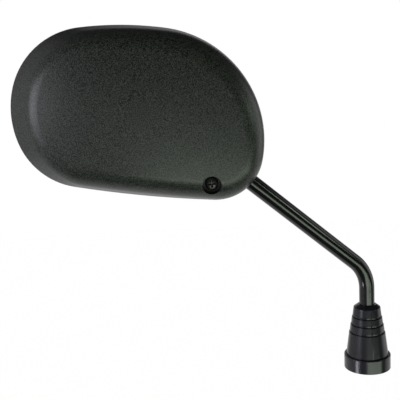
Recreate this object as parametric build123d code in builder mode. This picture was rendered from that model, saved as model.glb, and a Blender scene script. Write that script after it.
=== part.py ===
from build123d import *
from math import asin, atan2, cos, degrees, hypot, pi, radians, sin, sqrt, tan
import os

os.makedirs("parts", exist_ok=True)

# Right-hand motorcycle mirror. The origin is the centre of the stem's lower, threaded end, with +Z up the thread's axis.
# The mirror's back faces -Y and its glass faces +Y. Sizes are millimetres, angles degrees.

# Stem: a steel rod bent once, threaded below and necked down above to carry the ball
rod_diameter = 10.0
bend_height = 65.2
bend_radius = 25.0
arm_lean = 49.7
arm_yaw = 17.5
arm_length = 118.0
thread_diameter = 9.9
thread_length = 24.0
thread_chamfer = 1.0
free_thread_length = 11.0
relief_width = 1.4
relief_depth = 0.7
neck_diameter = 6.4
neck_length = 6.1
neck_taper = 1.2
spigot_diameter = 5.0
rivet_diameter = 6.4
rivet_height = 1.0

# Ball joint
ball_diameter = 14.0
ball_flat_height = 6.3
ball_end_play = 0.1
running_clearance = 0.05
cup_clearance = 0.1
cup_polar_angle = 35.0
cup_diameter = 9.0
cup_floor = 1.2
cup_boss_diameter = 5.0
cup_boss_length = 1.5

# Housing outline at its widest: seven tangent arcs, each ending where its outward normal points at the given angle.
# The radii of the left end and of the bottom edge follow from closing the chain.
lower_right_centre = (-10.9, 11.0)
lower_right_radius = 28.4
upper_right_radius = 66.9
top_radius = 205.0
upper_left_radius = 46.6
lower_left_radius = 41.8
lower_right_angle = -12.5
upper_right_angle = 80.0
top_angle = 94.0
upper_left_angle = 165.0
left_angle = 198.5
lower_left_angle = 258.2
bottom_angle = 265.2

# Housing depths, measured from the ball's centre towards the back, and its walls
widest_depth = 5.5
back_depth = 24.5
rim_depth = -16.0
crown_radius = 310.0
crown_centre = (-52.0, 36.0)
shoulder_radius = 15.0
shoulder_top_radius = 152.0
shoulder_inset = 6.5
shoulder_shift = 5.5
shoulder_height = 21.5
housing_wall = 2.5
mouth_diameter = 18.0
mouth_start = 5.0
mouth_length = 18.0
ledge_width = 2.4
ledge_relief_diameter = 21.0
ledge_relief_depth = -10.4
ledge_depth = -8.8

# Screw well and the ball's pedestal in the housing
screw_place = (-14.2, -6.5)
well_diameter = 11.4
well_floor_depth = 9.5
well_floor_thickness = 2.5
well_wall = 2.0
pedestal_diameter = 13.0
rib_thickness = 1.8
rib_setback = 2.0

# Clamp plate: a bridge over the ball, with a foot for the screw and a tongue for the hook post
plate_thickness = 1.6
plate_width = 10.0
plate_bend_radius = 2.4
foot_depth = -3.6
foot_overhang = 4.8
ramp_run = 3.2
bridge_half_length = 7.2
tongue_width = 6.0
tongue_reach = 16.3
hook_post_start = 13.2
hook_post_thickness = 5.0
hook_post_width = 11.0
hook_post_lip = 2.4
hook_slot_clearance = 0.2

# Clamp screw, spring washer and nut
screw_diameter = 4.0
screw_head_diameter = 7.8
screw_head_height = 2.9
screw_head_dome = 0.9
screw_hole_clearance = 0.2
screw_tip_chamfer = 0.5
recess_width = 1.1
recess_span = 4.4
recess_depth = 1.9
recess_taper = 8.0
spring_washer_diameter = 7.4
spring_washer_thickness = 0.9
spring_washer_split = 1.0
clamp_nut_across_flats = 7.0
clamp_nut_height = 3.2
screw_end_past_nut = 0.8

# Glass, its foam pad and the bezel
glass_thickness = 2.8
glass_radius = 1200.0
glass_centre = (-56.0, 35.5)
glass_crest_depth = -16.9
glass_edge_clearance = 0.3
pad_thickness = 1.0
pad_width = 2.2
pad_margin = 0.2
bezel_lip = 1.5
bezel_cover = 1.8
bezel_skirt = 1.2
bezel_skirt_depth = 3.5
bezel_fit = 0.1
bezel_edge_radius = 0.8

# Boot and lock nut
boot_base = -1.0
boot_height = 43.9
boot_wall = 2.0
collar_diameter = 30.6
collar_height = 9.4
collar_round = 0.8
cone_foot_diameter = 27.6
cone_top_diameter = 17.5
cone_top_height = 41.9
cone_top_round = 0.8
boot_lip_diameter = 12.0
boot_grip_length = 6.0
groove_heights = (25.2, 30.6, 35.8)
groove_width = 1.1
groove_depth = 1.0
groove_round = 0.3
ring_step = 0.3
foot_groove_width = 0.5
foot_groove_depth = 0.8
lock_nut_across_flats = 16.0
lock_nut_height = 8.4
lock_nut_base = 13.2
nut_chamfer_angle = 30.0

# Where the arm points and where the ball sits
arm = Vector(-cos(radians(arm_yaw)), -sin(radians(arm_yaw))) * sin(radians(arm_lean))
arm = arm + Vector(0, 0, cos(radians(arm_lean)))
bend_corner = Vector(0, 0, bend_height)
ball_centre = bend_corner + arm * arm_length
rod_end = ball_centre - arm * (ball_flat_height + ball_end_play + neck_length)
arm_axis = Axis(ball_centre, arm)

# Working planes through the ball's centre. The head's plane looks at the back: x right, y up, z towards the back.
back = Vector(0, -1, 0)
right = Vector(1, 0, 0)
head = Plane(origin=ball_centre, x_dir=right, z_dir=back)
head_axis = Axis(ball_centre, back)
meridian = Plane(origin=ball_centre, x_dir=right, z_dir=right.cross(back))
tilt_direction = arm.cross(back).normalized()
arm_section = Plane(origin=ball_centre, x_dir=tilt_direction, z_dir=tilt_direction.cross(arm * -1))
clamp_angle = degrees(atan2(-screw_place[1], -screw_place[0]))
clamp_direction = right.rotate(head_axis, clamp_angle)
bridge_section = Plane(origin=ball_centre, x_dir=clamp_direction, z_dir=clamp_direction.cross(back))
clamp_plan = Plane(origin=ball_centre, x_dir=clamp_direction, z_dir=back)
screw_reach = hypot(*screw_place)

# Radii and depths that follow from the values above
ball_radius = ball_diameter / 2
cup_back = ball_radius + cup_clearance + cup_floor
glass_inset = housing_wall + bezel_fit + bezel_skirt + glass_edge_clearance
bezel_inset = glass_inset + bezel_cover
glass_sphere_depth = glass_crest_depth + glass_radius


def facing(angle):
    """Unit vector in the outline's plane that points at an angle."""
    return Vector(cos(radians(angle)), sin(radians(angle)))


def closed_outline(top_arc_radius):
    """Centre, radius, start and sweep of each tangent arc of an outline, which a smaller top radius makes shorter."""
    ends = {
        "lower right": lower_right_angle,
        "upper right": upper_right_angle,
        "top": top_angle,
        "upper left": upper_left_angle,
        "left": left_angle,
        "lower left": lower_left_angle,
        "bottom": bottom_angle,
    }
    radii = {
        "lower right": lower_right_radius,
        "upper right": upper_right_radius,
        "top": top_arc_radius,
        "upper left": upper_left_radius,
        "lower left": lower_left_radius,
    }
    starts = {}
    steps = {}
    start = bottom_angle - degrees(2 * pi)
    for name, end in ends.items():
        starts[name] = start
        steps[name] = facing(end) - facing(start)
        start = end
    gap = Vector(0, 0)
    for name, radius in radii.items():
        gap = gap - steps[name] * radius
    area = steps["left"].cross(steps["bottom"]).Z
    radii["left"] = gap.cross(steps["bottom"]).Z / area
    radii["bottom"] = steps["left"].cross(gap).Z / area
    arcs = []
    centre = Vector(*lower_right_centre)
    radius = lower_right_radius
    for name, end in ends.items():
        centre = centre + facing(starts[name]) * (radius - radii[name])
        radius = radii[name]
        arcs.append((centre, radius, starts[name], end - starts[name]))
    return arcs


outline_arcs = closed_outline(top_radius)
shoulder_arcs = closed_outline(shoulder_top_radius)


def draw_outline(inset, arcs=outline_arcs, shift=0.0, mode=Mode.ADD):
    """Face inside an outline, set in by one distance all round and shifted sideways."""
    with BuildLine() as edge:
        for centre, radius, start, sweep in arcs:
            CenterArc((centre.X + shift, centre.Y), radius - inset, start, sweep)
    make_face(edge.edges(), mode=mode)


def draw_ring(outer_inset, inner_inset):
    """Ring between two insets of the housing's outline."""
    draw_outline(outer_inset)
    draw_outline(inner_inset, mode=Mode.SUBTRACT)


def glass_ball(radius):
    """Sphere about the glass's centre of curvature, to dish the pieces round the glass."""
    middle = head.from_local_coords((*glass_centre, glass_sphere_depth))
    with BuildPart() as ball:
        with Locations(middle):
            Sphere(radius)
    return ball.part


def housing_form(inset):
    """Solid form of the housing, set in by one wall: straight rim, leaning sides, crowned back and round shoulders."""
    with BuildPart() as crown:
        with Locations(head.from_local_coords((*crown_centre, back_depth - crown_radius))):
            Sphere(crown_radius - inset)
    with BuildPart() as form:
        with BuildSketch(head.offset(rim_depth)):
            draw_outline(inset)
        extrude(amount=widest_depth - rim_depth)
        with BuildSketch(head.offset(widest_depth)):
            draw_outline(inset)
        with BuildSketch(head.offset(widest_depth + shoulder_height)):
            draw_outline(inset + shoulder_inset, shoulder_arcs, shoulder_shift)
        loft(ruled=True)
        add(crown.part, mode=Mode.INTERSECT)
        back_face = form.faces().sort_by(head_axis)[-1]
        fillet(back_face.edges(), shoulder_radius - inset)
    return form.part


def hex_nut(seat, across_flats, height, bore):
    """Hex nut standing on a plane, with the corners of both ends turned off."""
    flat = across_flats / 2
    corner = flat / cos(radians(30))
    bevel = (corner - flat) * tan(radians(nut_chamfer_angle))
    section = Plane(origin=seat.origin, x_dir=seat.x_dir, z_dir=seat.x_dir.cross(seat.z_dir))
    with BuildPart() as nut:
        with BuildSketch(section):
            Polygon(
                (0, 0),
                (flat, 0),
                (corner, bevel),
                (corner, height - bevel),
                (flat, height),
                (0, height),
                align=None,
            )
        revolve(axis=Axis(seat.origin, seat.z_dir))
        with BuildSketch(seat):
            RegularPolygon(flat, 6, major_radius=False)
            Circle(bore / 2, mode=Mode.SUBTRACT)
        extrude(amount=height, mode=Mode.INTERSECT)
    return nut.part


def ball_cup(side):
    """Nylon cup on one side of the ball: a spherical seat, a flat back and a round boss on the head's axis."""
    bowl = ball_radius + cup_clearance
    rim = bowl * sin(radians(cup_polar_angle))
    rim_height = bowl * cos(radians(cup_polar_angle))
    halfway = radians(cup_polar_angle / 2)
    boss_end = cup_back + cup_boss_length
    with BuildPart() as cup:
        with BuildSketch(meridian):
            with BuildLine() as profile:
                ThreePointArc(
                    (0, side * bowl),
                    (bowl * sin(halfway), side * bowl * cos(halfway)),
                    (rim, side * rim_height),
                )
                Polyline(
                    (rim, side * rim_height),
                    (cup_diameter / 2, side * rim_height),
                    (cup_diameter / 2, side * cup_back),
                    (cup_boss_diameter / 2, side * cup_back),
                    (cup_boss_diameter / 2, side * boss_end),
                    (0, side * boss_end),
                    (0, side * bowl),
                )
            make_face(profile.edges())
        revolve(axis=head_axis)
    return cup.part


# Stem: the rod is swept along its bend, and its two ends are turned
with BuildPart() as stem:
    with BuildLine():
        FilletPolyline((0, 0, thread_length), bend_corner, rod_end, radius=bend_radius)
    with BuildSketch(Plane.XY.offset(thread_length)):
        Circle(rod_diameter / 2)
    sweep()
    thread_radius = thread_diameter / 2
    relief_radius = thread_radius - relief_depth
    relief_end = free_thread_length + relief_width
    with BuildSketch(Plane.XZ):
        Polygon(
            (0, -thread_chamfer),
            (thread_radius - thread_chamfer, -thread_chamfer),
            (thread_radius, 0),
            (thread_radius, free_thread_length),
            (relief_radius, free_thread_length),
            (relief_radius, relief_end),
            (thread_radius, relief_end),
            (thread_radius, thread_length),
            (0, thread_length),
            align=None,
        )
    revolve(axis=Axis.Z)
    ball_face = ball_flat_height + ball_end_play
    with BuildSketch(arm_section):
        Polygon(
            (0, ball_face + neck_length),
            (rod_diameter / 2, ball_face + neck_length),
            (neck_diameter / 2, ball_face + neck_length - neck_taper),
            (neck_diameter / 2, ball_face),
            (spigot_diameter / 2, ball_face),
            (spigot_diameter / 2, -ball_face),
            (rivet_diameter / 2, -ball_face),
            (spigot_diameter / 2, -ball_face - rivet_height),
            (0, -ball_face - rivet_height),
            align=None,
        )
    revolve(axis=arm_axis)
stem.part.label = "stem"
export_step(stem.part, "parts/stem.step")

# Pivot ball: turned with two flats and bored to run on the stem's spigot
with BuildPart() as pivot_ball:
    bore_radius = spigot_diameter / 2 + running_clearance
    flat_radius = sqrt(ball_radius**2 - ball_flat_height**2)
    with BuildSketch(arm_section):
        with BuildLine() as ball_profile:
            ThreePointArc((flat_radius, -ball_flat_height), (ball_radius, 0), (flat_radius, ball_flat_height))
            Polyline(
                (flat_radius, ball_flat_height),
                (bore_radius, ball_flat_height),
                (bore_radius, -ball_flat_height),
                (flat_radius, -ball_flat_height),
            )
        make_face(ball_profile.edges())
    revolve(axis=arm_axis)
pivot_ball.part.label = "pivot_ball"
export_step(pivot_ball.part, "parts/pivot_ball.step")

# Cups behind and in front of the ball
rear_ball_cup = ball_cup(1)
rear_ball_cup.label = "rear_ball_cup"
export_step(rear_ball_cup, "parts/rear_ball_cup.step")
front_ball_cup = ball_cup(-1)
front_ball_cup.label = "front_ball_cup"
export_step(front_ball_cup, "parts/front_ball_cup.step")

# Forms of the housing: outside, inside, and one half-way through the wall that the inner features run out into
outer_form = housing_form(0)
cavity_form = housing_form(housing_wall)
root_form = housing_form(housing_wall / 2)

# Inner features moulded on the housing's back: pedestal, screw well, hook post and the ribs between them
with BuildPart() as inner_features:
    with BuildSketch(head.offset(cup_back)):
        Circle(pedestal_diameter / 2)
    extrude(amount=back_depth - cup_back)
    with BuildSketch(head.offset(well_floor_depth - well_floor_thickness)):
        with Locations(screw_place):
            Circle(well_diameter / 2 + well_wall)
    extrude(amount=back_depth - well_floor_depth + well_floor_thickness)
    hook_post_end = foot_depth - plate_thickness - hook_post_lip
    with BuildSketch(clamp_plan.offset(hook_post_end)):
        with Locations((hook_post_start + hook_post_thickness / 2, 0)):
            Rectangle(hook_post_thickness, hook_post_width)
    extrude(amount=back_depth - hook_post_end)
    rib_start = cup_back + rib_setback
    with BuildSketch(clamp_plan.offset(rib_start)):
        Rectangle(2 * screw_reach, rib_thickness)
        Rectangle(rib_thickness, 2 * screw_reach)
    extrude(amount=back_depth - rib_start)
    add(root_form, mode=Mode.INTERSECT)

# Ledge inside the rim that the glass's pad sits on, dished to the glass
with BuildPart() as glass_ledge:
    with BuildSketch(head.offset(rim_depth)):
        draw_ring(housing_wall / 2, glass_inset + ledge_width)
    extrude(amount=ledge_depth - rim_depth)
    add(glass_ball(glass_radius - glass_thickness - pad_thickness), mode=Mode.INTERSECT)
    with BuildSketch(head.offset(ledge_relief_depth)):
        Circle(ledge_relief_diameter / 2)
    extrude(amount=ledge_depth - ledge_relief_depth, mode=Mode.SUBTRACT)

# Back housing
with BuildPart() as back_housing:
    add(outer_form)
    add(cavity_form, mode=Mode.SUBTRACT)
    add(inner_features.part)
    add(glass_ledge.part)
    with BuildSketch(head.offset(well_floor_depth)):
        with Locations(screw_place):
            Circle(well_diameter / 2)
    extrude(amount=back_depth, mode=Mode.SUBTRACT)
    with BuildSketch(head.offset(well_floor_depth)):
        with Locations(screw_place):
            Circle(screw_diameter / 2 + screw_hole_clearance)
    extrude(amount=-2 * well_floor_thickness, mode=Mode.SUBTRACT)
    with BuildSketch(head.offset(cup_back)):
        Circle(cup_boss_diameter / 2 + running_clearance)
    extrude(amount=cup_boss_length + running_clearance, mode=Mode.SUBTRACT)
    with BuildSketch(Plane(origin=ball_centre - arm * mouth_start, z_dir=arm * -1)):
        Circle(mouth_diameter / 2)
    extrude(amount=mouth_length, mode=Mode.SUBTRACT)
    with BuildSketch(clamp_plan.offset(foot_depth + hook_slot_clearance)):
        slot_length = tongue_reach - hook_post_start + hook_slot_clearance
        with Locations((hook_post_start + slot_length / 2, 0)):
            Rectangle(slot_length, tongue_width + 2 * hook_slot_clearance)
    extrude(amount=-plate_thickness - 2 * hook_slot_clearance, mode=Mode.SUBTRACT)
back_housing.part.label = "back_housing"
export_step(back_housing.part, "parts/back_housing.step")

# Clamp plate: strip folded into a bridge, then holed and cut down to its tongue
with BuildPart() as clamp_plate:
    with BuildSketch(bridge_section):
        with BuildLine() as fold:
            FilletPolyline(
                (-screw_reach - foot_overhang, foot_depth),
                (-bridge_half_length - ramp_run, foot_depth),
                (-bridge_half_length, -cup_back),
                (bridge_half_length, -cup_back),
                (bridge_half_length + ramp_run, foot_depth),
                (tongue_reach, foot_depth),
                radius=plate_bend_radius,
            )
            offset(amount=plate_thickness, side=Side.RIGHT)
        make_face(fold.edges())
    extrude(amount=plate_width / 2, both=True)
    with BuildSketch(clamp_plan.offset(-cup_back)):
        Circle(cup_boss_diameter / 2 + running_clearance)
    extrude(amount=-plate_thickness, mode=Mode.SUBTRACT)
    with BuildSketch(clamp_plan.offset(foot_depth)):
        with Locations((-screw_reach, 0)):
            Circle(screw_diameter / 2 + screw_hole_clearance)
    extrude(amount=-plate_thickness, mode=Mode.SUBTRACT)
    shoulder = bridge_half_length + ramp_run
    with BuildSketch(clamp_plan.offset(foot_depth)):
        with Locations((shoulder + tongue_reach / 2, 0)):
            Rectangle(tongue_reach, 2 * plate_width)
            Rectangle(tongue_reach, tongue_width, mode=Mode.SUBTRACT)
    extrude(amount=-plate_thickness, mode=Mode.SUBTRACT)
    foot_corners = clamp_plate.edges().filter_by(Axis.Y).sort_by(Axis(ball_centre, clamp_direction))[:2]
    fillet(foot_corners, plate_width / 4)
clamp_plate.part.label = "clamp_plate"
export_step(clamp_plate.part, "parts/clamp_plate.step")

# Clamp screw: pan head with a cross recess, its shank reaching through the plate's foot, washer and nut
nut_seat_depth = foot_depth - plate_thickness - spring_washer_thickness
screw_tip_depth = nut_seat_depth - clamp_nut_height - screw_end_past_nut
screw_origin = head.from_local_coords((*screw_place, 0))
with BuildPart() as clamp_screw:
    head_radius = screw_head_diameter / 2
    shank_radius = screw_diameter / 2
    head_top = well_floor_depth + screw_head_height
    dome_radius = (head_radius**2 + screw_head_dome**2) / (2 * screw_head_dome)
    dome_half_angle = asin(head_radius / dome_radius) / 2
    with BuildSketch(Plane(origin=screw_origin, x_dir=right, z_dir=right.cross(back))):
        with BuildLine() as screw_profile:
            ThreePointArc(
                (0, head_top),
                (dome_radius * sin(dome_half_angle), head_top - dome_radius * (1 - cos(dome_half_angle))),
                (head_radius, head_top - screw_head_dome),
            )
            Polyline(
                (head_radius, head_top - screw_head_dome),
                (head_radius, well_floor_depth),
                (shank_radius, well_floor_depth),
                (shank_radius, screw_tip_depth + screw_tip_chamfer),
                (shank_radius - screw_tip_chamfer, screw_tip_depth),
                (0, screw_tip_depth),
                (0, head_top),
            )
        make_face(screw_profile.edges())
    revolve(axis=Axis(screw_origin, back))
    with BuildSketch(head.offset(head_top)):
        with Locations(screw_place):
            Rectangle(recess_span, recess_width)
            Rectangle(recess_width, recess_span)
    extrude(amount=-recess_depth, taper=recess_taper, mode=Mode.SUBTRACT)
clamp_screw.part.label = "clamp_screw"
export_step(clamp_screw.part, "parts/clamp_screw.step")

# Split spring washer and nut under the clamp plate's foot
with BuildPart() as spring_washer:
    with BuildSketch(head.offset(foot_depth - plate_thickness)):
        with Locations(screw_place):
            Circle(spring_washer_diameter / 2)
            Circle(screw_diameter / 2 + running_clearance, mode=Mode.SUBTRACT)
        with Locations((screw_place[0] - spring_washer_diameter / 2, screw_place[1])):
            Rectangle(spring_washer_diameter, spring_washer_split, mode=Mode.SUBTRACT)
    extrude(amount=-spring_washer_thickness)
spring_washer.part.label = "spring_washer"
export_step(spring_washer.part, "parts/spring_washer.step")

nut_seat = Plane(origin=head.from_local_coords((*screw_place, nut_seat_depth)), x_dir=right, z_dir=back * -1)
clamp_nut = hex_nut(nut_seat, clamp_nut_across_flats, clamp_nut_height, screw_diameter + 2 * running_clearance)
clamp_nut.label = "clamp_nut"
export_step(clamp_nut, "parts/clamp_nut.step")

# Glass and the foam ring behind it, both dished to the glass's radius
with BuildPart() as mirror_glass:
    with BuildSketch(head.offset(glass_crest_depth)):
        draw_outline(glass_inset)
    extrude(amount=ledge_depth - glass_crest_depth)
    add(glass_ball(glass_radius), mode=Mode.INTERSECT)
    add(glass_ball(glass_radius - glass_thickness), mode=Mode.SUBTRACT)
mirror_glass.part.label = "mirror_glass"
export_step(mirror_glass.part, "parts/mirror_glass.step")

with BuildPart() as glass_pad:
    with BuildSketch(head.offset(glass_crest_depth)):
        draw_ring(glass_inset + pad_margin, glass_inset + pad_width)
    extrude(amount=ledge_depth - glass_crest_depth)
    add(glass_ball(glass_radius - glass_thickness), mode=Mode.INTERSECT)
    add(glass_ball(glass_radius - glass_thickness - pad_thickness), mode=Mode.SUBTRACT)
glass_pad.part.label = "glass_pad"
export_step(glass_pad.part, "parts/glass_pad.step")

# Bezel: lip over the rim and the glass's edge, with a skirt that plugs into the rim round the glass
with BuildPart() as glass_bezel:
    with BuildSketch(head.offset(rim_depth - bezel_lip)):
        draw_ring(glass_inset - glass_edge_clearance, bezel_inset)
    extrude(amount=bezel_lip + bezel_skirt_depth)
    add(glass_ball(glass_radius), mode=Mode.SUBTRACT)
    with BuildSketch(head.offset(rim_depth)):
        draw_ring(housing_wall + bezel_fit, glass_inset - glass_edge_clearance)
    extrude(amount=bezel_skirt_depth)
    with BuildSketch(head.offset(rim_depth - bezel_lip)):
        draw_ring(0, glass_inset - glass_edge_clearance)
    extrude(amount=bezel_lip)
    front_edges = glass_bezel.faces().sort_by(head_axis)[0].outer_wire().edges()
    fillet(front_edges, bezel_edge_radius)
glass_bezel.part.label = "glass_bezel"
export_step(glass_bezel.part, "parts/glass_bezel.step")

# Lock nut on the stem's thread
lock_nut_seat = Plane.XY.offset(lock_nut_base)
lock_nut = hex_nut(lock_nut_seat, lock_nut_across_flats, lock_nut_height, thread_diameter + 2 * running_clearance)
lock_nut.label = "lock_nut"
export_step(lock_nut, "parts/lock_nut.step")

# Boot: hollow cone on a collar, cut into stepped rings by three grooves, with a sleeve at its top that grips the rod
with BuildPart() as boot:
    collar_radius = collar_diameter / 2
    cone_foot_radius = cone_foot_diameter / 2
    cone_top_radius = cone_top_diameter / 2
    cone_rise = cone_top_height - collar_height
    cone_slope = (cone_foot_radius - cone_top_radius) / cone_rise
    ring_slope = cone_slope - ring_step * len(groove_heights) / cone_rise
    sleeve_base = boot_height - boot_grip_length
    sleeve_radius = rod_diameter / 2 + running_clearance
    inner_top_radius = cone_foot_radius - boot_wall - cone_slope * (sleeve_base - collar_height)
    foot_groove_base = collar_height - foot_groove_depth
    rim_radius = cone_foot_radius + foot_groove_width
    lip_heights = []
    ring_corners = []
    ring_radius = cone_foot_radius
    ring_base = collar_height
    for height in groove_heights:
        lower_lip = height - groove_width / 2
        upper_lip = height + groove_width / 2
        ring_radius = ring_radius - ring_slope * (lower_lip - ring_base)
        root_radius = ring_radius - groove_depth
        ring_corners.append((ring_radius, lower_lip))
        ring_corners.append((root_radius, lower_lip))
        ring_radius = ring_radius - ring_slope * groove_width - ring_step
        ring_corners.append((root_radius, upper_lip))
        ring_corners.append((ring_radius, upper_lip))
        lip_heights.extend([lower_lip, upper_lip])
        ring_base = upper_lip
    section = Plane.XZ.shift_origin((0, 0, boot_base))
    with BuildSketch(section):
        Polygon(
            (collar_radius - boot_wall, 0),
            (collar_radius, 0),
            (collar_radius, collar_height),
            (rim_radius, collar_height),
            (rim_radius, foot_groove_base),
            (cone_foot_radius, foot_groove_base),
            (cone_foot_radius, collar_height),
            *ring_corners,
            (cone_top_radius, cone_top_height),
            (boot_lip_diameter / 2, boot_height),
            (sleeve_radius, boot_height),
            (sleeve_radius, sleeve_base),
            (inner_top_radius, sleeve_base),
            (cone_foot_radius - boot_wall, collar_height),
            (collar_radius - boot_wall, collar_height - boot_wall),
            align=None,
        )
    revolve(axis=Axis.Z)
    rounds = [(lip_height, groove_round) for lip_height in lip_heights]
    rounds.append((cone_top_height, cone_top_round))
    rounds.append((collar_height, collar_round))
    for rim_height, rim_round in rounds:
        rim_level = boot_base + rim_height
        rims = boot.edges().filter_by(GeomType.CIRCLE).filter_by_position(Axis.Z, rim_level, rim_level)
        fillet(rims.sort_by(SortBy.RADIUS)[-1], rim_round)
boot.part.label = "boot"
export_step(boot.part, "parts/boot.step")
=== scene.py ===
# %% [markdown]
# # A motorcycle mirror
# The CAD model already holds every rigid piece of this mirror in its working place: the moulded housing,
# the glass and its bezel, the ball clamp, the bent stem, the lock nut and the boot. Blender's job here is
# the look of them. The model is loaded first as a fixed frame, in metres, and its box is kept, and the
# floor is placed from it.

# %% Load the frame
import bpy
from math import cos, pi, radians, sin, tan
from mathutils import Matrix, Vector


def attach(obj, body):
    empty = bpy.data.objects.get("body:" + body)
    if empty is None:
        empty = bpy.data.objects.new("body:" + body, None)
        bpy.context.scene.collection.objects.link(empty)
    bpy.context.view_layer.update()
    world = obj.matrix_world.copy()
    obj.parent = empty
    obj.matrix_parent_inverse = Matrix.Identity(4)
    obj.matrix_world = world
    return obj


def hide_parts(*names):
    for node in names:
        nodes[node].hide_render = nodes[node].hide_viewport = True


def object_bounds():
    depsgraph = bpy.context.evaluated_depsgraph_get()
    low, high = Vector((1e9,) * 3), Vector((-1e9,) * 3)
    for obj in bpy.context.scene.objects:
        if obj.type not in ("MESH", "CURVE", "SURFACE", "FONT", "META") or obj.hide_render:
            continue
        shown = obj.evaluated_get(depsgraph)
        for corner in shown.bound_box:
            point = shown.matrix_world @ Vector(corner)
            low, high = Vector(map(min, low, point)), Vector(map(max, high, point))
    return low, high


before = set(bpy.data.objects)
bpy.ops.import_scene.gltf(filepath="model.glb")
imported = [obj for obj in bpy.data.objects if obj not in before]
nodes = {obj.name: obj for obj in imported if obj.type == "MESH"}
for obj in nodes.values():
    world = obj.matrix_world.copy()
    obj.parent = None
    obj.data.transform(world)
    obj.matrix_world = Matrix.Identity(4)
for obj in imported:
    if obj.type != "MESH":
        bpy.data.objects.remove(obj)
cad_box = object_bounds()
MM = 0.001
print("CAD pieces:", sorted(nodes))

# %% [markdown]
# ## A true thread on the stem
# The CAD stem is a plain turned bar where its thread belongs, with the chamfer and the relief groove
# already on it. A die cuts the thread into such a bar, and the same can be done here. The section of one
# groove of the M10 x 1.25 profile is drawn as a ring of edges, by extruding a single vertex. The Screw
# modifier winds it up the axis into a coil, and the two open ends of the coil are filled. A small turn
# keeps its edges from lying exactly on edges of the bar, which would leave slivers. A Boolean then takes
# the coil out of the bar. The coil starts below the bar, so the first turn runs out through the chamfer by
# itself.

# %% Copy of the CAD stem
MERGE = 0.001 * MM


def cad_copy(node, name):
    """A copy of a CAD piece with its doubled corners merged, selected and active."""
    bpy.ops.object.select_all(action="DESELECT")
    piece = bpy.data.objects.new(name, nodes[node].data.copy())
    piece.matrix_world = nodes[node].matrix_world
    bpy.context.scene.collection.objects.link(piece)
    bpy.context.view_layer.objects.active = piece
    piece.select_set(True)
    bpy.ops.object.transform_apply()
    bpy.ops.mesh.customdata_custom_splitnormals_clear()
    bpy.ops.object.mode_set(mode="EDIT")
    bpy.ops.mesh.select_all(action="SELECT")
    bpy.ops.mesh.remove_doubles(threshold=MERGE)
    bpy.ops.mesh.normals_make_consistent(inside=False)
    bpy.ops.object.mode_set(mode="OBJECT")
    print(name, "starts with", len(piece.data.polygons), "faces")
    return piece


threaded_stem = cad_copy("stem", "threaded_stem")

# %% Section of the groove
PITCH = 1.25 * MM
ROOT = 4.27 * MM
GROOVE_TOP = 5.05 * MM
FLANK_ANGLE = radians(30)
TURNS_BELOW = 3


def edge_chain(name, start, steps):
    """A chain of edges, extruded step by step from one vertex. It stays in Edit Mode, all selected."""
    bpy.ops.object.select_all(action="DESELECT")
    bpy.ops.mesh.primitive_plane_add(size=MM)
    piece = bpy.context.object
    piece.name = name
    bpy.ops.object.mode_set(mode="EDIT")
    bpy.ops.mesh.select_all(action="SELECT")
    bpy.ops.mesh.merge(type="CENTER")
    bpy.ops.transform.translate(value=start)
    for step in steps:
        bpy.ops.mesh.extrude_region_move(TRANSFORM_OT_translate={"value": step})
    bpy.ops.mesh.select_all(action="SELECT")
    return piece


root_flat = PITCH / 4
outward = GROOVE_TOP - ROOT
flank = outward * tan(FLANK_ANGLE)
section = ((0, 0, root_flat), (outward, 0, flank), (0, 0, -root_flat - 2 * flank), (-outward, 0, flank))
coil = edge_chain("thread_coil", (ROOT, 0, -TURNS_BELOW * PITCH), section)
bpy.ops.mesh.remove_doubles(threshold=MERGE)
bpy.ops.object.mode_set(mode="OBJECT")
print("groove section has", len(coil.data.edges), "edges")

# %% Groove, wound up the axis
TURNS = 21
STEPS_A_TURN = 48
COIL_TURN = radians(2.3)
ORIGIN = Vector((0, 0, 0))


def apply_modifier(piece, name, kind, **settings):
    """Give a piece a modifier with these settings, and apply it."""
    bpy.ops.object.select_all(action="DESELECT")
    bpy.context.view_layer.objects.active = piece
    piece.select_set(True)
    modifier = piece.modifiers.new(name, kind)
    for setting, value in settings.items():
        setattr(modifier, setting, value)
    bpy.ops.object.modifier_apply(modifier=name)


apply_modifier(coil, "wind", "SCREW", axis="Z", screw_offset=PITCH, iterations=TURNS,
               steps=STEPS_A_TURN, render_steps=STEPS_A_TURN)
bpy.ops.object.mode_set(mode="EDIT")
bpy.ops.mesh.select_all(action="SELECT")
bpy.ops.mesh.fill_holes(sides=0)
bpy.ops.mesh.select_all(action="SELECT")
bpy.ops.mesh.normals_make_consistent(inside=False)
bpy.ops.transform.rotate(value=COIL_TURN, orient_axis="Z", center_override=ORIGIN)
bpy.ops.object.mode_set(mode="OBJECT")
print("coil has", len(coil.data.polygons), "faces")

# %% Groove cut into the stem
SMOOTH_ANGLE = radians(30)


def take_out(piece, tool, self_crossing=False):
    """Cut the tool's shape out of a piece with a Boolean, and remove the tool."""
    apply_modifier(piece, "cut", "BOOLEAN", operation="DIFFERENCE", object=tool, solver="EXACT",
                   use_self=self_crossing)
    bpy.data.objects.remove(tool)


take_out(threaded_stem, coil)
bpy.ops.object.shade_smooth_by_angle(angle=SMOOTH_ANGLE)
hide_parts("stem")
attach(threaded_stem, "stem")
print("threaded stem has", len(threaded_stem.data.polygons), "faces")

# %% [markdown]
# ## Driver recess in the screw
# The CAD screw has a narrow cross with straight arms, enough to show where a driver goes in. A punched
# recess has broad wings, round at their ends, that draw in towards the bottom. The punch is made from a
# cube stretched to one pair of wings. Its inner end is scaled down, its corners are bevelled round, and a
# copy turned by a quarter makes the cross. The punch is set on the screw's axis, a little proud of the
# head, both of which come from the box of the CAD screw. A Boolean takes the punch out of a copy of that
# screw, and a small Bevel breaks the edges, where the light catches.

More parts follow.
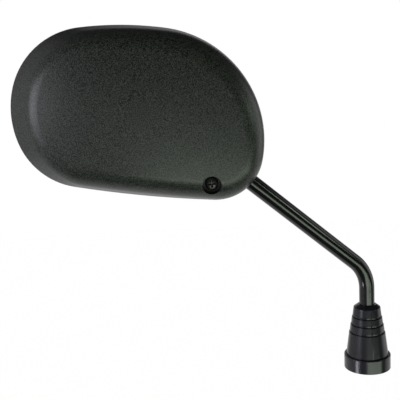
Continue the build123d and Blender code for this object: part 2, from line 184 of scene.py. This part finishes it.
# %% Place of the recess
MOUTH_PROUD = 0.03 * MM
cad_screw = nodes["clamp_screw"]
screw_corners = [cad_screw.matrix_world @ Vector(corner) for corner in cad_screw.bound_box]
screw_low = Vector([min(values) for values in zip(*screw_corners)])
screw_high = Vector([max(values) for values in zip(*screw_corners)])
recess_mouth = (screw_low + screw_high) / 2
recess_mouth.y = screw_low.y - MOUTH_PROUD
print("recess opens at", [round(length / MM, 2) for length in recess_mouth], "mm")

# %% One pair of wings
WING_SPAN, WING_WIDTH, WING_DEPTH = 5.0 * MM, 1.7 * MM, 2.3 * MM
INNER_END_SCALE = (0.8, 1, 0.5)
FACES_INWARD = 0.9
bpy.ops.object.select_all(action="DESELECT")
bpy.ops.mesh.primitive_cube_add(size=2.0)
punch = bpy.context.object
punch.name = "recess_punch"
bpy.ops.transform.resize(value=(WING_SPAN / 2, WING_DEPTH, WING_WIDTH / 2))
bpy.ops.object.transform_apply()
bpy.ops.object.mode_set(mode="EDIT")
bpy.ops.mesh.select_all(action="DESELECT")
bpy.ops.object.mode_set(mode="OBJECT")
for face in punch.data.polygons:
    face.select = face.normal.y > FACES_INWARD
bpy.ops.object.mode_set(mode="EDIT")
bpy.ops.transform.resize(value=INNER_END_SCALE, center_override=ORIGIN)
print("wings span", WING_SPAN / MM, "mm at the mouth")

# %% Punch for the recess
WING_ROUND, WING_ROUND_STEPS = 0.3 * MM, 3
QUARTER_TURN = radians(90)
RECESS_TURN = radians(7)
bpy.ops.mesh.select_all(action="SELECT")
bpy.ops.mesh.bevel(offset=WING_ROUND, segments=WING_ROUND_STEPS)
bpy.ops.mesh.select_all(action="SELECT")
bpy.ops.mesh.duplicate()
bpy.ops.transform.rotate(value=QUARTER_TURN, orient_axis="Y", center_override=ORIGIN)
bpy.ops.mesh.select_all(action="SELECT")
bpy.ops.transform.rotate(value=RECESS_TURN, orient_axis="Y", center_override=ORIGIN)
bpy.ops.transform.translate(value=recess_mouth)
bpy.ops.object.mode_set(mode="OBJECT")
print("punch has", len(punch.data.polygons), "faces")

# %% Screw with the recess punched in
EDGE_BREAK, EDGE_BREAK_STEPS = 0.15 * MM, 2
BROKEN_EDGE_ANGLE = radians(35)
screw = cad_copy("clamp_screw", "recessed_screw")
take_out(screw, punch, self_crossing=True)
apply_modifier(screw, "ease", "BEVEL", width=EDGE_BREAK, segments=EDGE_BREAK_STEPS,
               angle_limit=BROKEN_EDGE_ANGLE)
bpy.ops.object.shade_smooth_by_angle(angle=SMOOTH_ANGLE)
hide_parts("clamp_screw")
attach(screw, "head")
print("screw has", len(screw.data.polygons), "faces")

# %% [markdown]
# ## Mould seams on the boot
# The boot comes out of a mould in two halves, which leaves a thin line of flash up each side. It runs up
# the cone and its three rings, and bridges the grooves between them. The line is drawn corner by corner, by
# extruding a single vertex, and one more extrusion makes it a ribbon that reaches into the boot. A Solidify
# modifier gives the ribbon its thickness and a Bevel softens its edges. A copy turned half way round is the
# seam on the other side. The corners are the radius and the height, in millimetres, of the cone's foot, of
# the two edges of each groove and of the cone's top.

# %% Ribbon up one side
SEAM_LINE = ((13.8, 8.4), (11.85, 23.65), (11.41, 24.75), (10.86, 29.05), (10.42, 30.15), (9.9, 34.25),
             (9.46, 35.35), (8.87, 40.0))
SEAM_WIDTH, SEAM_DEPTH, SEAM_PROUD = 0.5, 1.2, 0.1
SEAM_ROUND, SEAM_ROUND_STEPS = 0.12, 2
ROUNDED_EDGE_ANGLE = radians(60)
corners = [Vector((radius + SEAM_PROUD, 0, height)) * MM for radius, height in SEAM_LINE]
seam = edge_chain("boot_seams", corners[0], [end - start for start, end in zip(corners, corners[1:])])
bpy.ops.mesh.extrude_region_move(TRANSFORM_OT_translate={"value": (-SEAM_DEPTH * MM, 0, 0)})
bpy.ops.object.mode_set(mode="OBJECT")
apply_modifier(seam, "thicken", "SOLIDIFY", thickness=SEAM_WIDTH * MM, offset=0)
apply_modifier(seam, "soften", "BEVEL", width=SEAM_ROUND * MM, segments=SEAM_ROUND_STEPS,
               angle_limit=ROUNDED_EDGE_ANGLE)
print("ribbon has", len(seam.data.polygons), "faces")

# %% Both seams in place
SEAM_PLACE = radians(-86)
HALF_TURN = radians(180)
bpy.ops.object.mode_set(mode="EDIT")
bpy.ops.mesh.select_all(action="SELECT")
bpy.ops.mesh.normals_make_consistent(inside=False)
# With no window the rotate operator turns the other way, hence the minus
bpy.ops.transform.rotate(value=-SEAM_PLACE, orient_axis="Z", center_override=ORIGIN)
bpy.ops.mesh.duplicate()
bpy.ops.transform.rotate(value=HALF_TURN, orient_axis="Z", center_override=ORIGIN)
bpy.ops.object.mode_set(mode="OBJECT")
bpy.ops.object.shade_smooth_by_angle(angle=SMOOTH_ANGLE)
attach(seam, "boot")
print("seams span", [round(length / MM, 2) for length in seam.dimensions], "mm, and one starts at",
      [round(length / MM, 1) for length in seam.data.vertices[0].co])

# %% [markdown]
# ## Writing shader maths as sums
# A material is a graph of nodes, and even a small sum takes several Math nodes. A class that wraps a socket
# and overloads the operators lets the sums below be written as sums. A second class holds a graph, of a
# material or of the world, and one method of it makes any node from its type, its settings and its inputs.

# %% Sockets that can be summed
class Wire:
    """A socket that can take part in a sum: each operator adds a Math node."""

    def __init__(self, graph, socket):
        self.graph, self.socket = graph, socket

    def math(self, operation, first, second):
        return self.graph.node("ShaderNodeMath", {"operation": operation}, {0: first, 1: second})

    def __add__(self, other):
        return self.math("ADD", self, other)

    def __sub__(self, other):
        return self.math("SUBTRACT", self, other)

    def __rsub__(self, other):
        return self.math("SUBTRACT", other, self)

    def __mul__(self, other):
        return self.math("MULTIPLY", self, other)

    __radd__ = __add__
    __rmul__ = __mul__

# %% Graphs of nodes
class Graph:
    """The node tree of a material or of the world."""

    def __init__(self, tree):
        self.tree = tree

    def node(self, kind, settings=None, inputs=None, output=0):
        """Make any node, and give one of its outputs. An input is a wire to link or a value to set."""
        made = self.tree.nodes.new(kind)
        for name, value in (settings or {}).items():
            setattr(made, name, value)
        for socket, value in (inputs or {}).items():
            if isinstance(value, Wire):
                self.tree.links.new(value.socket, made.inputs[socket])
            else:
                made.inputs[socket].default_value = value
        return Wire(self, made.outputs[output])

    def feed(self, name, socket, wire):
        """Link a wire to an input of a node that the tree came with."""
        self.tree.links.new(wire.socket, self.tree.nodes[name].inputs[socket])

# %% [markdown]
# ## One class for every finish
# A finish is a material with one main shader. A number that is the same all over a surface is set on the
# shader itself. What varies comes from noise in the piece's own coordinates, so that it stays put when the
# piece moves, and it is linked to the shader's colour, roughness or normal.

# %% Finishes
SHADER = "Principled BSDF"


class Finish(Graph):
    """One material. Numbers go straight on the shader, and what varies over the surface is linked to it."""

    def __init__(self, name, constants):
        self.material = bpy.data.materials.new(name)
        self.material.use_nodes = True
        super().__init__(self.material.node_tree)
        for socket, value in constants.items():
            self.tree.nodes[SHADER].inputs[socket].default_value = value
        self.place = self.node("ShaderNodeTexCoord", output="Object")

    def noise(self, per_metre, detail=2.0, roughness=0.5, stretch=(1, 1, 1)):
        """Noise from 0 to 1, about so many grains to the metre. A stretch below 1 draws them out."""
        spot = self.node("ShaderNodeVectorMath", {"operation": "MULTIPLY"}, {0: self.place, 1: stretch})
        return self.node("ShaderNodeTexNoise", None,
                         {"Vector": spot, "Scale": per_metre, "Detail": detail, "Roughness": roughness})

    def between(self, low, high, share):
        """Colour that goes from low to high as share goes from 0 to 1."""
        return self.node("ShaderNodeMix", {"data_type": "RGBA"},
                         {"Factor": share, 6: (*low, 1), 7: (*high, 1)}, output=2)

    def give(self, socket, wire):
        """Link a wire to an input of the shader."""
        self.feed(SHADER, socket, wire)

    def emboss(self, height, depth, strength=1.0):
        """Bump of a real depth in metres."""
        self.give("Normal", self.node("ShaderNodeBump", None,
                                      {"Strength": strength, "Distance": depth, "Height": height}))


def paint(finish, *pieces):
    """Put a finish in every material slot of these pieces."""
    for piece in pieces:
        if not piece.material_slots:
            piece.data.materials.append(None)
        for place in piece.material_slots:
            place.material = finish.material
    print(finish.material.name, "on", ", ".join(piece.name for piece in pieces))

# %% [markdown]
# ## Sand-textured plastic
# The housing is moulded in black plastic with a spark-eroded, sandy skin. The grains are well under a
# millimetre, too fine to model, so one fine noise stands for them. It is the bump, and with its contrast
# raised it also paints shade into the colour: the pits between the grains are painted dark, as their own
# shade, and the tops paler. It feeds the roughness as well, together with a second, much coarser noise for
# the uneven blotches that such a skin always has.

# %% Housing and bezel
# The contrast and shift paint shade into the colour: dark in the pits, paler on the tops of the grains.
PIT_SHADE_CONTRAST, PIT_SHADE_SHIFT = 9.0, 4.0
BLOTCHES_PER_METRE = 45


def sandy_plastic(name, dark, light, grains_per_metre, depth):
    """Sandy black plastic: pits painted dark as shade, tops paler, and the depth of its grains in metres.
    """
    finish = Finish(name, {"Specular IOR Level": 0.29})
    grain_and_pit_shade = finish.noise(grains_per_metre, detail=1.0)
    blotch = finish.noise(BLOTCHES_PER_METRE)
    # Painted shade: the pits between the grains take the dark colour and their tops the light one.
    finish.give("Base Color", finish.between(dark, light, grain_and_pit_shade * PIT_SHADE_CONTRAST - PIT_SHADE_SHIFT))
    finish.give("Roughness", 0.26 + grain_and_pit_shade * 0.10 + blotch * 0.06)
    finish.emboss(grain_and_pit_shade, depth)
    return finish


housing_skin = sandy_plastic("sandy_black_plastic", dark=(0.0, 0.0, 0.0), light=(0.0345, 0.0394, 0.0341),
                             grains_per_metre=2000, depth=0.03 * MM)
bezel_skin = sandy_plastic("fine_black_plastic", dark=(0.002, 0.002, 0.002), light=(0.011, 0.011, 0.0114),
                           grains_per_metre=2600, depth=0.02 * MM)
paint(housing_skin, nodes["back_housing"])
paint(bezel_skin, nodes["glass_bezel"])

# %% [markdown]
# ## Gloss paint and the soft boot
# The stem is dipped in gloss black, which shows as a slow waviness in the reflections, called orange peel.
# The boot is a softer gloss moulding: its skin is a little rougher, with faint flow marks that run up and
# down it. Both are one shader with noise in its roughness and its bump.

# %% Stem
PAINT_BLACK = (0.004, 0.0042, 0.0042, 1)
stem_paint = Finish("gloss_black_paint", {"Base Color": PAINT_BLACK, "Specular IOR Level": 0.3})
peel = stem_paint.noise(420, detail=1.0)
stem_paint.give("Roughness", 0.10 + 0.06 * stem_paint.noise(90, detail=3.0))
stem_paint.emboss(peel, depth=0.05 * MM, strength=0.5)
paint(stem_paint, threaded_stem, nodes["stem"])

# %% Boot
BOOT_DARK, BOOT_LIGHT = (0.0034, 0.0034, 0.0052), (0.0144, 0.0144, 0.0190)
boot_skin = Finish("gloss_black_soft_plastic", {"Specular IOR Level": 0.25})
flow = boot_skin.noise(140, detail=3.0, stretch=(1, 1, 0.25))
boot_skin.give("Base Color", boot_skin.between(BOOT_DARK, BOOT_LIGHT, flow))
boot_skin.give("Roughness", 0.19 + 0.1 * flow)
boot_skin.emboss(boot_skin.noise(300), depth=0.06 * MM, strength=0.5)
paint(boot_skin, nodes["boot"], seam)

# %% [markdown]
# ## Silvered glass and its pad
# A mirror is a metal film seen through glass, so a plain metal with a very low roughness is close to it.
# Faint wiping marks in the roughness keep it from looking like a hole into another world. The pad behind
# the glass is a black foam, and a fine noise is both the colour and the bump of its cells.

# %% Glass
SILVER = (0.80, 0.83, 0.84, 1)
silvering = Finish("silvered_glass", {"Base Color": SILVER, "Metallic": 1.0})
wiping = silvering.noise(60, detail=4.0, roughness=0.6, stretch=(1, 1, 0.3))
silvering.give("Roughness", 0.015 + 0.05 * wiping)
paint(silvering, nodes["mirror_glass"])

# %% Pad
FOAM_DARK, FOAM_LIGHT = (0.02, 0.02, 0.02), (0.07, 0.07, 0.07)
foam = Finish("black_foam", {"Roughness": 0.95})
cells = foam.noise(1800)
foam.give("Base Color", foam.between(FOAM_DARK, FOAM_LIGHT, cells))
foam.emboss(cells, depth=0.2 * MM)
paint(foam, nodes["glass_pad"])

# %% [markdown]
# ## Metal and nylon inside
# The clamp is ordinary hardware: a turned steel ball, zinc-plated pressings and nuts, a blackened screw and
# two cups of natural nylon. Plating is mottled on the scale of its crystals, so one function gives them all
# the same kind of surface with their own colours. Nylon lets a little light in, so its shader has some
# subsurface scattering.

# %% Hardware
def plated(name, dull, bright, roughness):
    """Plated or blackened metal, mottled by its crystals and by broader stains."""
    finish = Finish(name, {"Metallic": 1.0})
    crystals = finish.noise(700, detail=3.0, roughness=0.6)
    stain = finish.noise(120)
    finish.give("Base Color", finish.between(dull, bright, 0.5 * crystals + 0.5 * stain))
    finish.give("Roughness", roughness + 0.16 * stain)
    finish.emboss(crystals, depth=0.03 * MM, strength=0.6)
    return finish


zinc_plate = plated("zinc_plate", dull=(0.40, 0.40, 0.38), bright=(0.62, 0.61, 0.57), roughness=0.28)
pressing = plated("zinc_pressing", dull=(0.42, 0.40, 0.33), bright=(0.60, 0.57, 0.46), roughness=0.32)
ball_steel = plated("turned_steel", dull=(0.42, 0.43, 0.44), bright=(0.58, 0.58, 0.58), roughness=0.2)
screw_steel = plated("blackened_steel", dull=(0.020, 0.020, 0.020), bright=(0.085, 0.085, 0.082),
                     roughness=0.24)
paint(zinc_plate, nodes["lock_nut"], nodes["clamp_nut"], nodes["spring_washer"])
paint(pressing, nodes["clamp_plate"])
paint(ball_steel, nodes["pivot_ball"])
paint(screw_steel, nodes["clamp_screw"], screw)

# %% Cups
NYLON_DARK, NYLON_LIGHT = (0.66, 0.63, 0.55), (0.76, 0.74, 0.67)
nylon = Finish("natural_nylon", {"Subsurface Weight": 0.2, "Subsurface Scale": 1.0 * MM})
cloud = nylon.noise(200)
nylon.give("Base Color", nylon.between(NYLON_DARK, NYLON_LIGHT, cloud))
nylon.give("Roughness", 0.35 + 0.15 * cloud)
paint(nylon, nodes["rear_ball_cup"], nodes["front_ball_cup"])

# %% [markdown]
# ## Floor
# The mirror hangs by its thread over a plain white floor, far enough up that its shadow stays out of the
# picture. The floor starts just in front of the mirror and runs back from there, so that the undersides
# which face forwards see the dim room and stay dark. The floor's material shows white to the camera and in
# reflections, and a small share of it stays matt and takes the soft shadow.

# %% Floor
FLOOR_SIZE = 2.8
FLOOR_DROP = 0.5
FLOOR_FRONT = 0.1
bpy.ops.object.select_all(action="DESELECT")
floor_place = (0, FLOOR_SIZE / 2 - FLOOR_FRONT, cad_box[0].z - FLOOR_DROP)
bpy.ops.mesh.primitive_plane_add(size=FLOOR_SIZE, location=floor_place)
floor = bpy.context.object
floor.name = "floor"
bpy.ops.object.transform_apply()
print("floor at", round(floor.data.vertices[0].co.z / MM, 2), "mm")

# %% White of the floor
RAYS = ("Is Camera Ray", "Is Glossy Ray", "Is Transmission Ray")
GLOW_SHARE = 0.995
ground = Finish("white_ground", {"Base Color": (0.85, 0.85, 0.85, 1), "Roughness": 0.9})
camera_ray, glossy_ray, through_ray = [ground.node("ShaderNodeLightPath", output=kind) for kind in RAYS]
glow = ground.node("ShaderNodeEmission", None, {"Color": (1, 1, 1, 1), "Strength": 1.0})
matt = Wire(ground, ground.tree.nodes[SHADER].outputs[0])
share = GLOW_SHARE * (camera_ray + glossy_ray + through_ray)
mixed = ground.node("ShaderNodeMixShader", None, {0: share, 1: matt, 2: glow})
ground.feed("Material Output", "Surface", mixed)
floor.data.materials.append(ground.material)
print(ground.material.name, "on", floor.name)

# %% [markdown]
# ## Room
# Black gloss shows almost nothing but what stands round it, so the room matters as much as the lamps. It is
# a dim room with a white backdrop, and with some light from the left, from the right and from low in front.
# The world's strength is worked out from the direction of each ray, by ramps that rise towards those
# places. The camera itself sees plain white.

# %% World
RIGHT = (0.97, 0.26, 0.0)
world = bpy.data.worlds.new("studio")
world.use_nodes = True
bpy.context.scene.world = world
room = Graph(world.node_tree)


def ramp(wire, start, end, low, high):
    """Number that goes from low to high as a wire of the room goes from start to end."""
    return room.node("ShaderNodeMapRange", None, {0: wire, 1: start, 2: end, 3: low, 4: high})


direction = room.node("ShaderNodeTexCoord", output="Generated")
across, behind, above = [room.node("ShaderNodeSeparateXYZ", None, {0: direction}, axis) for axis in "XYZ"]
aside = room.node("ShaderNodeVectorMath", {"operation": "DOT_PRODUCT"}, {0: direction, 1: RIGHT}, "Value")
backdrop = ramp(behind, 0.75, 0.95, 0.0, 1.0)
left = ramp(across, -0.45, -0.95, 0.06, 0.85)
right = ramp(aside, 0.88, 0.97, 0.0, 1.45)
fill = ramp(behind, -0.75, -0.97, 0.0, 1.1) * ramp(above, 0.15, -0.15, 0.0, 1.0)
camera_ray, glossy_ray, through_ray = [room.node("ShaderNodeLightPath", output=kind) for kind in RAYS]
seen = camera_ray + (glossy_ray + through_ray) * backdrop
level = room.node("ShaderNodeMix", None, {0: seen, 2: left + right + fill, 3: 1.0})
room.feed("Background", "Strength", level)
room.tree.nodes["Background"].inputs["Color"].default_value = (1, 1, 1, 1)
print("the room is made of", len(room.tree.nodes), "nodes")

# %% [markdown]
# ## Lamps
# The streaks on the stem and the boot tell where the lights stood: a soft box at the left, a broad one low
# in front and a small one at the right. The left one stands high, so that its light fades down the left
# shoulder of the housing. Two more lamps add the streaks on the boot's collar and on its rings, and their
# narrow beams, as if through a grid, keep them off that shoulder. A lamp is given by its angles and
# distance as seen from the point that it is aimed at, by its size and by its brightness, and its power
# follows from those.

# %% Lamps
AIM = Vector((-0.07, -0.02, 0.11))
RINGS = Vector((0, 0, 0.03))
COOL = (0.96, 0.97, 1.07)
GREENISH = (0.94, 1.10, 0.88)


def soft_box(name, aim, around, above, away, width, height, radiance, tint, spread=180):
    """Area lamp aimed at a point, at an angle to the camera's right and at a height angle, in degrees."""
    turn, lift = radians(around), radians(above)
    back = Vector((sin(turn) * cos(lift), -cos(turn) * cos(lift), sin(lift)))
    lamp = bpy.data.lights.new(name, "AREA")
    lamp.shape, lamp.size, lamp.size_y = "RECTANGLE", width, height
    lamp.energy = radiance * pi * width * height
    lamp.color = tint
    lamp.spread = radians(spread)
    box = bpy.data.objects.new(name, lamp)
    box.location = aim + away * back
    box.rotation_euler = back.to_track_quat("Z", "Y").to_euler()
    bpy.context.scene.collection.objects.link(box)
    print(name, "gives", round(lamp.energy, 2), "W")


soft_box("left_strip", AIM, around=-58.5, above=9.8, away=0.55, width=0.28, height=0.20, radiance=6.0,
         tint=COOL)
soft_box("low_box", AIM, around=27, above=-29.6, away=0.9, width=1.1, height=0.28, radiance=4.7,
         tint=GREENISH)
soft_box("right_lamp", AIM, around=69, above=10.5, away=0.9, width=0.17, height=0.18, radiance=6.0,
         tint=GREENISH)
soft_box("boot_lamp", ORIGIN, around=-63, above=-23, away=0.28, width=0.05, height=0.05, radiance=1.4,
         tint=COOL, spread=45)
soft_box("ring_lamp", RINGS, around=-59, above=0.6, away=0.62, width=0.25, height=0.136, radiance=0.24,
         tint=COOL, spread=34)

# %% [markdown]
# ## Camera
# The view was worked out from the stem and the outline of the housing in the photograph: a 30 degree lens
# half a metre away, looking down about ten degrees, and rolled a little because the mirror leans in the
# picture.

# %% Camera
LENS_ANGLE = radians(30)
DOWN, ROLL = radians(10.5), radians(-2.859)
CAMERA_PLACE = Vector((-107.49, -474.91, 206.52)) * MM
ahead = Vector((0, cos(DOWN), -sin(DOWN)))
level_side = Vector((1, 0, 0))
level_up = Vector((0, sin(DOWN), cos(DOWN)))
side = level_side * cos(ROLL) + level_up * sin(ROLL)
top = level_up * cos(ROLL) - level_side * sin(ROLL)
lens = bpy.data.cameras.new("camera")
lens.angle = LENS_ANGLE
camera = bpy.data.objects.new("camera", lens)
turned = Matrix((side, top, -ahead)).transposed().to_4x4()
camera.matrix_world = Matrix.Translation(CAMERA_PLACE) @ turned
bpy.context.scene.collection.objects.link(camera)
bpy.context.scene.camera = camera
bpy.context.scene.view_settings.view_transform = "Standard"
print("camera stands", round(CAMERA_PLACE.length, 2), "m from the thread")
